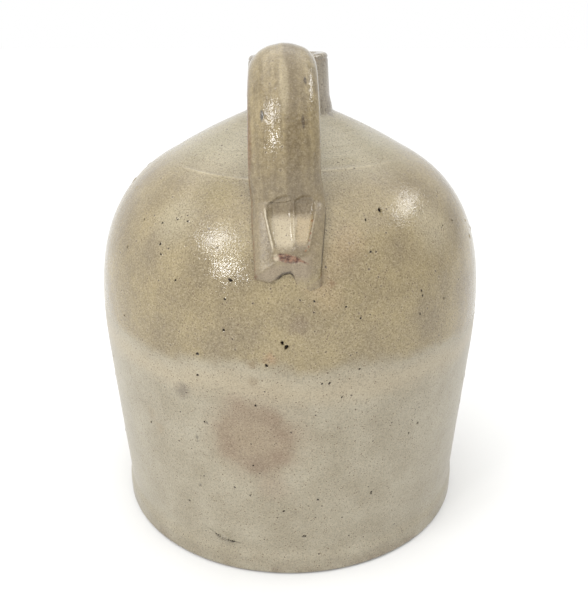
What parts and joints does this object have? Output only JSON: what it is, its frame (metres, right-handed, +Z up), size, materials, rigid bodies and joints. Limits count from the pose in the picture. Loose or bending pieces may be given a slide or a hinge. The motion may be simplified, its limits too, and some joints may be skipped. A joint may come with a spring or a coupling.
{
  "type": "stoneware crock jug",
  "caption": "Stoneware crock jug with a straight lower wall, domed shoulder, short narrow neck and a pulled strap handle, for storing, carrying and pouring liquids.",
  "frame": {"origin": "middle of the underside, on the surface that the jug stands on", "axes": "+Z up along the jug's axis and out of its mouth, -Y towards the handle"},
  "size_m": [0.243, 0.243, 0.2982],
  "materials": {
    "glazed_stoneware": "satin, pitted clear glaze over tan clay",
    "bare_stoneware": "matt, thinly glazed fired clay",
    "fired_slip": "matt fired clay slip"
  },
  "bodies": {
    "root": {"foot_slab": "bare_stoneware", "foot_slip_joint": "fired_slip", "lower_wall": "glazed_stoneware", "girth_slip_joint": "fired_slip", "shoulder_dome": "glazed_stoneware", "ring_slip_joint": "fired_slip", "shoulder_cap": "glazed_stoneware", "neck_slip_joint": "fired_slip", "neck_collar": "glazed_stoneware", "handle_root_slip": "fired_slip", "handle_foot_slip": "fired_slip", "strap_handle": "glazed_stoneware"}
  },
  "joints": []
}
